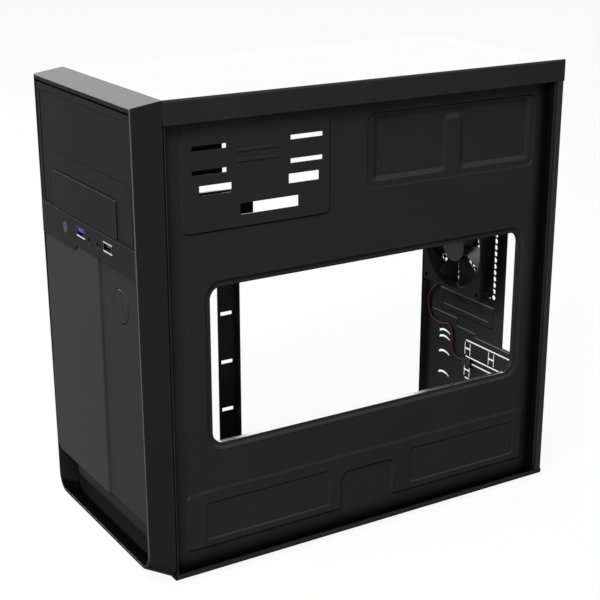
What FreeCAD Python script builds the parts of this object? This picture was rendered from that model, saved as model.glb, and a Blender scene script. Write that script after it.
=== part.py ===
import FreeCAD, Part
import math
import os

# Micro ATX tower case with both side panels off, in millimetres.
# The pieces are drawn with y = 0 at the front of the steel box, z = 0 at its underside
# and x = 0 midway, +X being the side of the motherboard tray. The exporter then moves
# everything so that the origin is midway along the depth, on the surface the feet stand on.

# Overall steel box
box_width = 166.0
box_depth = 344.0
box_height = 350.0
sheet = 0.8
seam = 0.1
bend = 2.2
edge_bend = 1.6
half = box_width / 2
inner_half = half - sheet

# Front moulding
bezel_depth = 23.0
bezel_low_depth = 21.3
bezel_top_drop = 3.3
bezel_bottom_rise = 12.4
bezel_side_wall = 1.6
bezel_top_wall = 3.2
bezel_bottom_wall = 2.6
bezel_rim_round = 1.0
bezel_corner = 12.0
moulding = 2.4

# Feet
foot_height = 5.0
foot_radius = 9.0
foot_taper = 1.5
foot_x = half - 28.0
foot_front_y = 32.0
foot_rear_y = box_depth - 44.0

# Top cover and bottom pan
cover_flange = 17.0
pan_flange_right = 4.4
pan_flange_left = 12.0
cover_front = 0.3
lip_front = 0.5
lip_height = 10.0
weld_flange = 10.0
pan_vent_rows = 8
pan_vent_y = box_depth - 194.0
pan_vent_pitch = 9.0
pan_vent_width = 4.4
pan_vent_x = (5.0, 37.0)

# Motherboard tray, with its pressed areas, window and slots
tray_recess = 7.5
tray_wall_y = box_depth - 11.0
tray_out = half - tray_recess
tray_in = tray_out - sheet
window_y = (36.5, box_depth - 30.1)
window_z = (96.6, box_height - 135.2)
window_radius = 9.0
window_border = 5.0
window_border_depth = 1.2
window_lip = 4.0
bay_area_y = (15.5, 134.0)
bay_area_z = (box_height - 95.0, box_height - 7.0)
bay_area_rise = 1.2
rib_y = (58.5, 92.5)
rib_z = (box_height - 47.6, box_height - 40.5)
rib_width = 2.6
rib_rise = 0.5
long_slot_length = 26.4
long_slot_height = 3.3
short_slot_length = 25.0
short_slot_height = 6.8
slot_front_y = 23.9
slot_rear_y = 100.8
slot_rows_z = (box_height - 35.9, box_height - 52.5)
short_slot_z = box_height - 65.0
short_slot_y = (29.0, 99.3)
wide_slot_y = (60.5, 107.3)
wide_slot_z = (box_height - 85.4, box_height - 77.5)
frame_y = (bay_area_y[1] + 32.0, box_depth - 21.0)
frame_z = (box_height - 82.3, box_height - 26.2)
frame_depth = 0.8
pane_depth = 1.5
pane_slope = 3.6
pane_y = (frame_y[0] + 6.0, frame_y[1] - 4.7)
pane_z = (frame_z[0] + 5.3, frame_z[1] - 1.4)
pane_bar_y = (frame_y[0] + frame_y[1]) / 2
pane_bar_width = 12.2
pane_bar_top = frame_z[1] - 10.8
low_left = 13.0
low_right = box_depth - 18.0
low_bottom = 16.5
low_top = 62.0
low_rise = 1.4
low_notch_y = (146.8, 193.0)
low_notch_z = 46.8
low_pane_z = (22.5, 52.6)
low_pane_left_y = (28.0, 136.0)
low_pane_right_y = (210.0, low_right - 9.0)
low_pane_depth = 0.6

# Motherboard holes, from the board's top rear corner
board_rear_y = box_depth - 4.5
board_top_z = 250.75
board_hole_y = (10.16, 165.1, 237.49)
board_hole_z = (6.35, 163.83, 209.55)
board_back_x = tray_in - 6.5
standoff_radius = 2.9
standoff_bore = 1.25
standoff_bore_depth = 5.0

# Rear panel
side_flange = 6.5
io_size_x = 44.45
io_left = tray_in - 4.25 - io_size_x
io_z = 95.0
io_size_z = 158.75
psu_x = (9.0 - half, half - 17.0)
psu_z = (box_height - 88.0, box_height - 8.0)
slot_pitch = 20.32
slot_top_z = 80.0
slot_count = 4
cover_x = (-23.0, 40.0)
cover_half_height = 7.6
slit_height = 1.4
hatch_x = (-20.0, 12.6)
hatch_gap = 7.0
hatch_height = 12.0
hatch_stroke = 1.6
arch_x = (-61.4, -45.3)
arch_rise = 2.6
arch_width = 2.0
arch_offset = 5.4
rear_flange = 10.0
slot_area_x = (9.0 - half, -36.0, -10.0, 44.0)
slot_area_z = (6.0, 104.0, 97.0, 93.5)
slot_area_depth = 0.5
rear_field_x = (-62.0, 13.0)
rear_field_z = (107.5, 127.5)
rear_field_depth = 0.9
rear_field_border = 5.5
rear_field_lift = 0.4

# Case fan
fan_size = 80.0
fan_depth = 15.0
fan_x = 54.5 - half
fan_z = 176.0
fan_corner = 3.5
fan_bore_radius = 38.0
fan_flange = 3.6
fan_barrel_radius = 39.6
fan_hole_pitch = 71.5
fan_hole_radius = 2.15
hub_radius = 14.5
hub_wall = 1.4
hub_recess = 1.2
blade_count = 7
blade_tip_radius = 36.8
blade_thickness = 1.3
blade_chord = 21.0
blade_root_angle = 38.0
blade_tip_angle = 24.0
motor_disc_radius = 16.0
motor_disc = 2.0
spoke_width = 3.6
shaft_radius = 1.5
shaft_clearance = 0.05
rotor_gap = 0.4
vent_pitch = 5.6
vent_columns = 15
vent_right_x = fan_x + 40.5
vent_radius = 2.45
screw_head_radius = 3.8
screw_head = 0.9
screw_length = 10.0
screw_clearance = 0.05

# Fan lead, as points that its tube follows, and the connector at its end
lead_radius = 0.8
lead_y = 341.3
lead_points = (
    (-62.5, fan_z - fan_size / 2), (-62.5, 131.0), (-67.6, 126.0), (-73.8, 120.2), (-77.4, 111.8),
    (-76.2, 102.4), (-70.4, 95.6), (-62.0, 93.4), (-53.6, 94.2), (-45.8, 96.6), (-40.6, 91.0), (-39.6, 82.6),
    (-40.4, 74.6), (-37.0, 69.5), (-30.8, 68.3), (-24.0, 68.3))
plug_length = 11.5
plug_height = 7.6
plug_thickness = 2.6
plug_wall = 1.0
plug_pin_pitch = 2.54
plug_slot = 0.8

# Drive cages and the post at the open side
upper_wall_x = 9.0 - half
upper_wall_tab = 5.0
cage_slot_length = 22.0
slot_shift = 4.0
upper_wall_end = 128.0
upper_wall_z = box_height - 99.0
drive_half_width = 51.6
hdd_top_z = box_height - 102.5
hdd_bay_height = 31.5
hdd_floor_z = hdd_top_z - hdd_bay_height
hdd_end = 143.3
hdd_screw_rise = 6.4
hdd_slot_height = 3.6
hdd_slot_y = (38.0, 98.0)
hdd_tab = 9.0
hdd_tab_top = hdd_top_z - 11.5
post_y = (125.0, 141.5)
post_flange_x = 10.2 - half
post_top = hdd_tab_top + 4.0
post_tab_y = 110.5
post_slot_y = (127.6, 138.5)
post_slot_z = (133.2, 90.0, 46.6)
post_slot_height = 3.2
psu_ledge_z = psu_z[0] - 4.8
psu_ledge_y = (box_depth - 108.0, box_depth - 14.0)
psu_ledge_width = 20.0
psu_ledge_height = 9.0

# Front openings and covers
front_plate_y = lip_front + sheet + seam
plate_flange = 20.0
bay_half = half - 8.4
bay_holes_z = ((box_height - 96.6, box_height - 56.0), (box_height - 52.0, box_height - 11.0))
cable_hole_x = (-17.0, 17.0)
cable_hole_z = (box_height - 116.0, box_height - 104.0)
intake_rows = 10
intake_z = 40.0
intake_pitch = 11.0
intake_width = 6.0
intake_x = (14.0, 48.0)
clip_x = half - 23.0
clip_z = (27.0, 160.0, box_height - 107.0)
clip_half_width = 3.0
clip_half_thickness = 1.2
clip_clearance = 0.3
clip_hook = 3.0
clip_root = 4.0
band_top = box_height - 98.0
band_low_left = band_top - 24.6
band_low_right = band_top - 20.1
band_step_x = -19.0
band_step_run = 2.0
band_face = 22.7
fit_gap = 0.3
fascia_face = 22.4
fascia_gap = 1.2
fascia_half = half - bezel_side_wall - fascia_gap
fascia_top = box_height - 8.3
fascia_low_border = 1.2
skirt_gap = 0.2
skirt_rise = 1.9
skirt_thickness = 1.2
cover_half = fascia_half - 5.2
cover_top = fascia_top - 5.1
cover_low = band_top + fit_gap + fascia_low_border + fit_gap
cover_split = box_height - 54.9
cover_face = 22.0
cover_wall = 1.6
cover_return = 9.0
small_half = cover_half - 20.6
small_top = band_top + 28.6
small_face = 23.0
closing_back = 6.0
closing_top = 56.0

# Lower front panels
left_panel_face = 22.0
left_panel_x = (2.1 - half, 19.6)
left_panel_bottom = 48.6
left_panel_corner = 9.0
left_panel_round = 2.0
panel_thickness = 3.0
panel_side_wall = 2.0
panel_return = 12.0
panel_gap = 0.4
right_panel_face = 20.8
right_panel_x = (left_panel_x[1] + panel_gap, half - 2.4)
right_panel_bottom = 50.6
button_x = right_panel_x[1] - 28.1
button_z = band_low_right - 26.9
button_radius = 12.4
button_proud = 0.2
button_clearance = 0.4
button_dome = 0.8
button_travel = 1.5
button_lap = 1.5
button_flange = 1.2
stem_radius = 2.5
switch_radius = 7.5
switch_hole_radius = 5.0
switch_front = 9.0
plate_x = (41.0 - half, right_panel_x[1])
plate_z = (40.8, 50.0)
plate_face = 18.0
plate_rise = 2.0
plate_step_x = 23.0 - half
plate_step_z = 33.0
plate_step_face = 14.5
plate_step_depth = 4.0
plate_corner = 7.0
plate_leg_x = (plate_step_x + 10.0, 15.0, plate_x[1] - 10.6)
plate_leg_width = 4.0
plate_leg_inset = 3.0

# Ports on the band
port_z = band_top - 8.3
usb3_x = -8.0
usb2_x = 38.6
jack_x = (6.6, 21.2)
jack_z = band_top - 10.0
jack_radius = 3.0
jack_bore = 1.8
jack_floor = 1.0
jack_proud = 0.1
usb_width = 14.6
usb_height = 7.2
usb_wall = 0.9
usb_proud = 0.2
tongue_width = 11.2
tongue_height = 1.9
tongue_recess = 1.0
tongue_drop = 0.8
reset_x = -36.5
reset_z = band_top - 10.7
reset_radius = 4.3
reset_travel = 1.0
reset_stand = 0.3
port_clearance = 0.2
board_face = 12.2
board_thickness = 1.6
board_x = (-46.0, 52.0)
board_z = (band_top - 17.5, band_top - 1.5)
boss_radius = 2.5
boss_x = (-27.0, 48.6)


def point(axis, u, v, w):
    """A point from its two in-plane coordinates u, v and its place w along the axis."""
    if axis == "x":
        return FreeCAD.Vector(w, u, v)
    if axis == "y":
        return FreeCAD.Vector(u, w, v)
    return FreeCAD.Vector(u, v, w)


def along(axis, length):
    return point(axis, 0, 0, length)


def block(x, y, z):
    """A box from its low and high value in x, y and z."""
    corner = FreeCAD.Vector(x[0], y[0], z[0])
    return Part.makeBox(x[1] - x[0], y[1] - y[0], z[1] - z[0], corner)


def rod(axis, u, v, w, radius):
    """A round bar along the axis from w[0] to w[1]."""
    return Part.makeCylinder(radius, w[1] - w[0], point(axis, u, v, w[0]), along(axis, 1))


def corner_arc(before, corner, after, radius):
    """The two tangent points and the middle of the arc that rounds a corner."""
    a = (before - corner).normalize()
    b = (after - corner).normalize()
    half_angle = a.getAngle(b) / 2
    reach = radius / math.tan(half_angle)
    middle_line = (a + b).normalize()
    centre = corner + middle_line * (radius / math.sin(half_angle))
    return corner + a * reach, centre - middle_line * radius, corner + b * reach


def rounded_wire(axis, w, corners):
    """A closed outline through corners (u, v, radius)."""
    points = [point(axis, u, v, w) for u, v, radius in corners]
    edges = []
    ends = []
    for i, (u, v, radius) in enumerate(corners):
        before = points[i - 1]
        after = points[(i + 1) % len(points)]
        if radius > 0:
            start, middle, end = corner_arc(before, points[i], after, radius)
            ends.append((start, end))
            edges.append(Part.Arc(start, middle, end).toShape())
        else:
            ends.append((points[i], points[i]))
            edges.append(None)
    ordered = []
    for i in range(len(points)):
        if edges[i]:
            ordered.append(edges[i])
        start = ends[i][1]
        end = ends[(i + 1) % len(points)][0]
        if start.distanceToPoint(end) > 1e-6:
            ordered.append(Part.LineSegment(start, end).toShape())
    return Part.Wire(ordered)


def rectangle(u, v, radius=0.0):
    return [(u[0], v[0], radius), (u[1], v[0], radius), (u[1], v[1], radius), (u[0], v[1], radius)]


def slab(axis, w, corners):
    """A flat plate of an outline, from w[0] to w[1] along the axis."""
    face = Part.Face(rounded_wire(axis, w[0], corners))
    return face.extrude(along(axis, w[1] - w[0]))


def inset(corners, distance):
    """The same outline, counter-clockwise, moved inwards by a distance."""
    moved = []
    count = len(corners)
    for i in range(count):
        u0, v0, r0 = corners[i - 1]
        u1, v1, r1 = corners[i]
        u2, v2, r2 = corners[(i + 1) % count]
        d1 = FreeCAD.Vector(u1 - u0, v1 - v0, 0).normalize()
        d2 = FreeCAD.Vector(u2 - u1, v2 - v1, 0).normalize()
        n1 = FreeCAD.Vector(-d1.y, d1.x, 0)
        n2 = FreeCAD.Vector(-d2.y, d2.x, 0)
        turn = d1.x * d2.y - d1.y * d2.x
        shift = (n1 + n2) * (distance / (1 + n1.dot(n2)))
        change = -distance if turn > 0 else distance
        radius = max(r1 + change, 0.4) if r1 > 0 else 0.0
        moved.append((u1 + shift.x, v1 + shift.y, radius))
    return moved


def pressed(plate, axis, outer, corners, rise, run=None):
    """A pressing in a sheet whose outer face looks along the axis, inwards where rise is negative."""
    slope = abs(rise) if run is None else run
    top = inset(corners, slope)
    skins = []
    for face in (outer, outer - sheet):
        wires = [rounded_wire(axis, face, corners), rounded_wire(axis, face + rise, top)]
        skins.append(Part.makeLoft(wires, True, True))
    if rise > 0:
        return plate.fuse(skins[0]).cut(skins[1])
    return plate.fuse(skins[1]).cut(skins[0])


def folded(axis, w, path, side, thickness=sheet, radius=bend):
    """A folded sheet: a path of fold lines, with the metal on its left (+1) or right (-1)."""
    lines = []
    for offset in (0.0, thickness):
        pts = []
        for i, (u, v) in enumerate(path):
            here = FreeCAD.Vector(u, v, 0)
            normals = []
            if i > 0:
                d = here - FreeCAD.Vector(path[i - 1][0], path[i - 1][1], 0)
                normals.append(FreeCAD.Vector(-d.y, d.x, 0).normalize() * side)
            if i < len(path) - 1:
                d = FreeCAD.Vector(path[i + 1][0], path[i + 1][1], 0) - here
                normals.append(FreeCAD.Vector(-d.y, d.x, 0).normalize() * side)
            if len(normals) == 2:
                shift = (normals[0] + normals[1]) * (offset / (1 + normals[0].dot(normals[1])))
            else:
                shift = normals[0] * offset
            pts.append(here + shift)
        lines.append(pts)
    corners = []
    for k, pts in enumerate(lines):
        row = []
        for i, p in enumerate(pts):
            r = 0.0
            if 0 < i < len(pts) - 1:
                d1 = pts[i] - pts[i - 1]
                d2 = pts[i + 1] - pts[i]
                inward = (d1.x * d2.y - d1.y * d2.x) * side > 0
                outer_line = (k == 0) == inward
                r = radius if outer_line else radius - thickness
            row.append((p.x, p.y, r))
        corners.append(row)
    outline = corners[0] + corners[1][::-1]
    return slab(axis, w, outline)


def join(first, *others):
    """One solid from pieces that touch."""
    return first.multiFuse(list(others)).removeSplitter()


def mirrored(values):
    return [(-values[1], -values[0]), values]


def clear_of_bends(body):
    """Notches at a sheet's four corners, which keep it off the bends of the cover and the pan."""
    reach = bend + seam
    for x in mirrored((half - reach, half + 1)):
        for z in ((-1, reach), (box_height - reach, box_height + 1)):
            body = body.cut(block(x, (-1, box_depth + 1), z))
    return body


def top_cover():
    z_low = box_height - cover_flange
    path = [(-half, z_low), (-half, box_height), (half, box_height), (half, z_low)]
    shell = folded("y", (cover_front, box_depth), path, -1)
    lip_half = inner_half - bend
    lip_z = (box_height - sheet - lip_height, box_height - sheet)
    lip = block((-lip_half, lip_half), (lip_front, lip_front + sheet), lip_z)
    return join(shell, lip)


def twin_panes():
    """Outline of the two pressed-in panes, which meet above the bar between them."""
    bar_left = pane_bar_y - pane_bar_width / 2
    bar_right = pane_bar_y + pane_bar_width / 2
    y0, y1 = pane_y
    low, high = pane_z
    return [
        (y0, low, 4.0), (bar_left, low, 4.0), (bar_left, pane_bar_top, 4.0), (bar_right, pane_bar_top, 4.0),
        (bar_right, low, 4.0), (y1, low, 4.0), (y1, high, 4.0), (y0, high, 4.0)]


def low_plateau():
    """Outline of the long raised area low on the tray, with its notch."""
    y0, y1 = low_notch_y
    return [
        (low_left, low_bottom, 4.0), (y0, low_bottom, 4.0), (y0, low_notch_z, 6.0),
        (y1, low_notch_z, 3.0), (y1, low_bottom, 3.0), (low_right, low_bottom, 4.0),
        (low_right, low_top, 5.0), (low_left, low_top, 5.0)]


def motherboard_tray():
    y_front = front_plate_y + sheet + seam
    z = (sheet + seam, box_height - sheet - seam)
    flange_x = tray_out - weld_flange
    return_x = inner_half - seam
    path = [
        (flange_x, y_front), (tray_out, y_front), (tray_out, tray_wall_y),
        (return_x, tray_wall_y), (return_x, box_depth - edge_bend - seam)]
    body = folded("z", z, path, 1, radius=edge_bend)
    flange_y = (y_front + 4.0, tray_wall_y - 4.0)
    top = block((flange_x, tray_out), flange_y, (z[1] - sheet, z[1]))
    bottom = block((flange_x, tray_out), flange_y, (z[0], z[0] + sheet))
    body = join(body, top, bottom)
    body = pressed(body, "x", tray_out, rectangle(bay_area_y, bay_area_z, 5.0), bay_area_rise)
    for rib in rib_z:
        rib_v = (rib - rib_width / 2, rib + rib_width / 2)
        body = pressed(body, "x", tray_out + bay_area_rise, rectangle(rib_y, rib_v, 1.2), rib_rise)
    body = pressed(body, "x", tray_out, rectangle(frame_y, frame_z, 6.0), -frame_depth)
    body = pressed(body, "x", tray_out - frame_depth, twin_panes(), -pane_depth, pane_slope)
    body = pressed(body, "x", tray_out, low_plateau(), low_rise)
    for pane in (low_pane_left_y, low_pane_right_y):
        outline = rectangle(pane, low_pane_z, 4.0)
        body = pressed(body, "x", tray_out + low_rise, outline, -low_pane_depth, 1.2)
    outline = rectangle(window_y, window_z, window_radius)
    body = pressed(body, "x", tray_out, inset(outline, -window_border), -window_border_depth, 2.5)
    border_x = tray_out - window_border_depth
    lip = slab("x", (border_x - window_lip, border_x), inset(outline, -sheet))
    body = join(body, lip).cut(slab("x", (border_x - window_lip - 1, tray_out + 1), outline))
    through = (tray_out - 5.0, tray_out + 5.0)
    for y in (slot_front_y, slot_rear_y):
        for z_mid in slot_rows_z:
            v = (z_mid - long_slot_height / 2, z_mid + long_slot_height / 2)
            body = body.cut(slab("x", through, rectangle((y, y + long_slot_length), v)))
    for y in short_slot_y:
        v = (short_slot_z - short_slot_height / 2, short_slot_z + short_slot_height / 2)
        body = body.cut(slab("x", through, rectangle((y, y + short_slot_length), v)))
    body = body.cut(slab("x", through, rectangle(wide_slot_y, wide_slot_z)))
    return clear_of_bends(body).removeSplitter()


def hatch(x, z):
    """Two upright slits joined by a bar, cut out of a slot cover so that it snaps off."""
    w = (box_depth - 2 * sheet, box_depth + sheet)
    v = (z - hatch_height / 2, z + hatch_height / 2)
    cuts = []
    for side in (-1, 1):
        mid = x + side * hatch_gap / 2
        cuts.append(slab("y", w, rectangle((mid - hatch_stroke / 2, mid + hatch_stroke / 2), v)))
    bar_u = (x - hatch_gap / 2, x + hatch_gap / 2)
    cuts.append(slab("y", w, rectangle(bar_u, (z - hatch_stroke / 2, z + hatch_stroke / 2))))
    return join(*cuts)


def arch(z):
    """A curved slit beside a slot cover."""
    w = (box_depth - 2 * sheet, box_depth + sheet)
    left, right = arch_x
    mid = (left + right) / 2
    low = z - arch_rise / 2
    high = z + arch_rise / 2
    lower = Part.Arc(point("y", left, low, w[0]), point("y", mid, high, w[0]), point("y", right, low, w[0]))
    up = arch_width
    upper = Part.Arc(
        point("y", right, low + up, w[0]), point("y", mid, high + up, w[0]), point("y", left, low + up, w[0]))
    rise_right = Part.LineSegment(point("y", right, low, w[0]), point("y", right, low + up, w[0]))
    rise_left = Part.LineSegment(point("y", left, low + up, w[0]), point("y", left, low, w[0]))
    wire = Part.Wire([lower.toShape(), rise_right.toShape(), upper.toShape(), rise_left.toShape()])
    return Part.Face(wire).extrude(along("y", w[1] - w[0]))


def slot_area():
    """Outline of the pressed-in area around the slot covers, with its stepped top edge."""
    left, first, second, right = slot_area_x
    low, high, middle, short = slot_area_z
    return [
        (left, low, 2.0), (right, low, 2.0), (right, short, 2.0), (second, short, 1.5), (second, middle, 1.5),
        (first, middle, 2.0), (first, high, 2.0), (left, high, 2.0)]


def rear_pressings(body):
    """The rear panel's pressed-in areas: one around the slot covers, and a framed field above it."""
    body = pressed(body, "y", box_depth, slot_area(), -slot_area_depth)
    field = rectangle(rear_field_x, rear_field_z, 2.0)
    body = pressed(body, "y", box_depth, field, -rear_field_depth)
    inner = inset(field, rear_field_border)
    return pressed(body, "y", box_depth - rear_field_depth, inner, rear_field_lift)


def rear_cutters():
    """Everything that is punched through the rear panel."""
    w = (box_depth - 2 * sheet, box_depth + sheet)
    cuts = []
    io_x = (io_left, io_left + io_size_x)
    cuts.append(slab("y", w, rectangle(io_x, (io_z, io_z + io_size_z), 1.0)))
    cuts.append(slab("y", w, rectangle(psu_x, psu_z, 3.0)))
    for column in range(vent_columns):
        for row in range(vent_columns):
            u = vent_right_x - column * vent_pitch
            v = fan_z + (row - (vent_columns - 1) / 2) * vent_pitch
            centre = point("y", u, v, w[0])
            cell = [centre + point("y", vent_radius * math.cos(a), vent_radius * math.sin(a), 0)
                    for a in [math.radians(30 + 60 * k) for k in range(7)]]
            cuts.append(Part.Face(Part.makePolygon(cell)).extrude(along("y", w[1] - w[0])))
    for dx in (-1, 1):
        for dz in (-1, 1):
            u = fan_x + dx * fan_hole_pitch / 2
            v = fan_z + dz * fan_hole_pitch / 2
            cuts.append(rod("y", u, v, w, fan_hole_radius))
    for k in range(slot_count):
        z = slot_top_z - k * slot_pitch
        for dz in (-cover_half_height, cover_half_height):
            v = (z + dz - slit_height / 2, z + dz + slit_height / 2)
            cuts.append(slab("y", w, rectangle(cover_x, v)))
        for x in hatch_x:
            cuts.append(hatch(x, z))
        cuts.append(arch(z + arch_offset))
    cuts.append(arch(slot_top_z - 0.6))
    return cuts


def rear_panel():
    z = (sheet + seam, box_height - sheet - seam)
    y_flange = box_depth - side_flange
    path = [(-half, y_flange), (-half, box_depth), (half, box_depth), (half, y_flange)]
    body = folded("z", z, path, -1, radius=edge_bend)
    notch_y = (y_flange - 1, box_depth + 1)
    above = (box_height - cover_flange - seam, box_height)
    below_right = (0, pan_flange_right + seam)
    below_left = (0, pan_flange_left + seam)
    edge = inner_half - seam
    body = body.cut(block((edge, half + 1), notch_y, above))
    body = body.cut(block((-half - 1, -edge), notch_y, above))
    body = body.cut(block((edge, half + 1), notch_y, below_right))
    body = body.cut(block((-half - 1, -edge), notch_y, below_left))
    flange_x = (-inner_half + 4, tray_out - weld_flange - 2)
    flange_y = (box_depth - rear_flange, box_depth)
    top = block(flange_x, flange_y, (z[1] - sheet, z[1]))
    bottom = block(flange_x, flange_y, (z[0], z[0] + sheet))
    body = rear_pressings(clear_of_bends(join(body, top, bottom)))
    cuts = rear_cutters()
    return body.cut(cuts[0].multiFuse(cuts[1:])).removeSplitter()


def bottom_pan():
    path = [(half, pan_flange_right), (half, 0), (-half, 0), (-half, pan_flange_left)]
    body = folded("y", (cover_front, box_depth), path, -1)
    lip_half = inner_half - bend
    lip = block((-lip_half, lip_half), (lip_front, lip_front + sheet), (sheet, sheet + lip_height))
    body = join(body, lip)
    for k in range(pan_vent_rows):
        y = pan_vent_y + k * pan_vent_pitch
        for x in mirrored(pan_vent_x):
            slot = rectangle(x, (y, y + pan_vent_width), pan_vent_width / 2 - 0.1)
            body = body.cut(slab("z", (-1, sheet + 1), slot))
    return body


def front_plate():
    y = (front_plate_y, front_plate_y + sheet)
    z = (sheet + seam, box_height - sheet - seam)
    edge = inner_half - seam
    path = [(edge, y[0]), (-edge, y[0]), (-edge, y[0] + plate_flange)]
    body = clear_of_bends(folded("z", z, path, -1, radius=edge_bend))
    through = (y[0] - 1, y[1] + 1)
    for bay in bay_holes_z:
        body = body.cut(slab("y", through, rectangle((-bay_half, bay_half), bay, 1.0)))
    body = body.cut(slab("y", through, rectangle(cable_hole_x, cable_hole_z, 3.0)))
    for k in range(intake_rows):
        z_low = intake_z + k * intake_pitch
        for u in mirrored(intake_x):
            slot = rectangle(u, (z_low, z_low + intake_width), intake_width / 2 - 0.1)
            body = body.cut(slab("y", through, slot))
    switch_hole = rod("y", button_x, button_z, through, switch_hole_radius)
    body = body.cut(switch_hole)
    room = clip_clearance
    for u, v in clip_places():
        u_pair = (u - clip_half_width - room, u + clip_half_width + room)
        v_pair = (v - clip_half_thickness - room, v + clip_half_thickness + room)
        body = body.cut(slab("y", through, rectangle(u_pair, v_pair)))
    return body


def clip_places():
    """Centres of the moulding's clips, in x and z."""
    return [(side * clip_x, z) for side in (-1, 1) for z in clip_z]


def left_post():
    outer_x = -inner_half + seam
    z = (sheet + seam, post_top)
    path = [(outer_x, post_y[0]), (outer_x, post_y[1]), (post_flange_x, post_y[1])]
    body = folded("z", z, path, -1, radius=edge_bend)
    foot_y = (post_y[0], post_y[1] - sheet)
    foot = block((outer_x, post_flange_x), foot_y, (z[0], z[0] + sheet))
    tab_x = (outer_x, -drive_half_width - sheet - seam)
    tab = block(tab_x, (post_tab_y, post_y[1]), (post_top - sheet, post_top))
    body = clear_of_bends(join(body, foot, tab))
    for slot_z in post_slot_z:
        v = (slot_z - post_slot_height / 2, slot_z + post_slot_height / 2)
        body = body.cut(block((outer_x - 1, outer_x + 2), post_slot_y, v))
    return body


def upper_cage_wall():
    x_in = upper_wall_x
    y_front = front_plate_y + sheet + seam
    z = (upper_wall_z, box_height - sheet - seam)
    path = [(x_in - upper_wall_tab, y_front), (x_in, y_front), (x_in, upper_wall_end)]
    wall = folded("z", z, path, 1, radius=edge_bend)
    flange_x = (x_in - sheet, x_in + weld_flange)
    flange_y = (y_front + 4.0, upper_wall_end)
    top = block(flange_x, flange_y, (z[1] - sheet, z[1]))
    ledge = block(flange_x, flange_y, (z[0], z[0] + sheet))
    body = join(wall, top, ledge)
    for y in (slot_front_y, slot_rear_y - slot_shift):
        for z_mid in slot_rows_z + (short_slot_z,):
            v = (z_mid - long_slot_height / 2, z_mid + long_slot_height / 2)
            cut_x = (x_in - 2, x_in + 1)
            body = body.cut(slab("x", cut_x, rectangle((y, y + cage_slot_length), v)))
    return body


def hdd_cage():
    wide = drive_half_width + sheet
    y = (front_plate_y + sheet + seam, hdd_end)
    path = [(-wide, hdd_top_z), (-wide, hdd_floor_z), (wide, hdd_floor_z), (wide, hdd_top_z)]
    body = folded("y", y, path, 1)
    tabs = []
    for side in (-1, 1):
        tab_x = sorted((side * (wide - sheet), side * (wide + hdd_tab)))
        tabs.append(block(tab_x, (y[0], y[0] + sheet), (hdd_floor_z + bend, hdd_tab_top)))
    body = join(body, *tabs)
    z_mid = hdd_floor_z + sheet + hdd_screw_rise
    v = (z_mid - hdd_slot_height / 2, z_mid + hdd_slot_height / 2)
    for slot_y in hdd_slot_y:
        outline = rectangle((slot_y, slot_y + cage_slot_length), v, hdd_slot_height / 2 - 0.1)
        body = body.cut(slab("x", (-wide - 1, wide + 1), outline))
    return body


def psu_ledge():
    x_out = tray_in - seam
    x_end = x_out - psu_ledge_width
    path = [(x_out, psu_ledge_z + psu_ledge_height), (x_out, psu_ledge_z), (x_end, psu_ledge_z)]
    return folded("y", psu_ledge_y, path, -1, radius=edge_bend)


def tray_level(y, z):
    """How far the tray is pressed outwards at a place on it."""
    inside = low_left + 4 < y < low_right - 4 and low_bottom < z < low_top
    notch = low_notch_y[0] < y < low_notch_y[1] and z < low_notch_z
    if not inside or notch:
        return 0.0
    for pane in (low_pane_left_y, low_pane_right_y):
        if pane[0] < y < pane[1] and low_pane_z[0] < z < low_pane_z[1]:
            return low_rise - low_pane_depth
    return low_rise


def standoffs():
    posts = []
    for dy in board_hole_y:
        for dz in board_hole_z:
            y = board_rear_y - dy
            z = board_top_z - dz
            base = tray_in + tray_level(y, z)
            corners = [(y + standoff_radius * math.cos(a), z + standoff_radius * math.sin(a), 0)
                       for a in [math.radians(60 * k) for k in range(6)]]
            body = slab("x", (board_back_x, base), corners)
            bore = rod("x", y, z, (board_back_x - 1, board_back_x + standoff_bore_depth), standoff_bore)
            posts.append(body.cut(bore))
    return Part.makeCompound(posts)


def fan_frame():
    y_back = box_depth - sheet
    y_front = y_back - fan_depth
    side = fan_size / 2
    outline = rectangle((fan_x - side, fan_x + side), (fan_z - side, fan_z + side), fan_corner)
    front = slab("y", (y_front, y_front + fan_flange), outline)
    back = slab("y", (y_back - fan_flange, y_back), outline)
    barrel = rod("y", fan_x, fan_z, (y_front, y_back), fan_barrel_radius)
    body = join(front, back, barrel)
    body = body.cut(rod("y", fan_x, fan_z, (y_front - 1, y_back + 1), fan_bore_radius))
    disc = rod("y", fan_x, fan_z, (y_back - motor_disc, y_back), motor_disc_radius)
    spokes = []
    for k in range(4):
        bar_z = (-spoke_width / 2, spoke_width / 2)
        bar = block((0, fan_bore_radius + 1), (y_back - motor_disc, y_back), bar_z)
        bar.rotate(FreeCAD.Vector(0, 0, 0), FreeCAD.Vector(0, 1, 0), 20 + 90 * k)
        bar.translate(FreeCAD.Vector(fan_x, 0, fan_z))
        spokes.append(bar)
    body = join(body, disc, *spokes)
    bearing = rod("y", fan_x, fan_z, (y_back - motor_disc - 1, y_back + 1), shaft_radius + shaft_clearance)
    body = body.cut(bearing)
    for dx in (-1, 1):
        for dz in (-1, 1):
            u = fan_x + dx * fan_hole_pitch / 2
            v = fan_z + dz * fan_hole_pitch / 2
            body = body.cut(rod("y", u, v, (y_front - 1, y_back + 1), fan_hole_radius))
    return body


def blade_section(radius, angle, y_mid):
    """A thin rectangle across the radius, turned by the blade's angle."""
    turn = math.radians(angle)
    chord = FreeCAD.Vector(0, math.sin(turn), math.cos(turn)) * (blade_chord * radius / blade_tip_radius / 2)
    skin = FreeCAD.Vector(0, math.cos(turn), -math.sin(turn)) * (blade_thickness / 2)
    centre = FreeCAD.Vector(radius, y_mid, 0)
    corners = [centre + chord + skin, centre - chord + skin, centre - chord - skin, centre + chord - skin]
    return Part.makePolygon(corners + [corners[0]])


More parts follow.
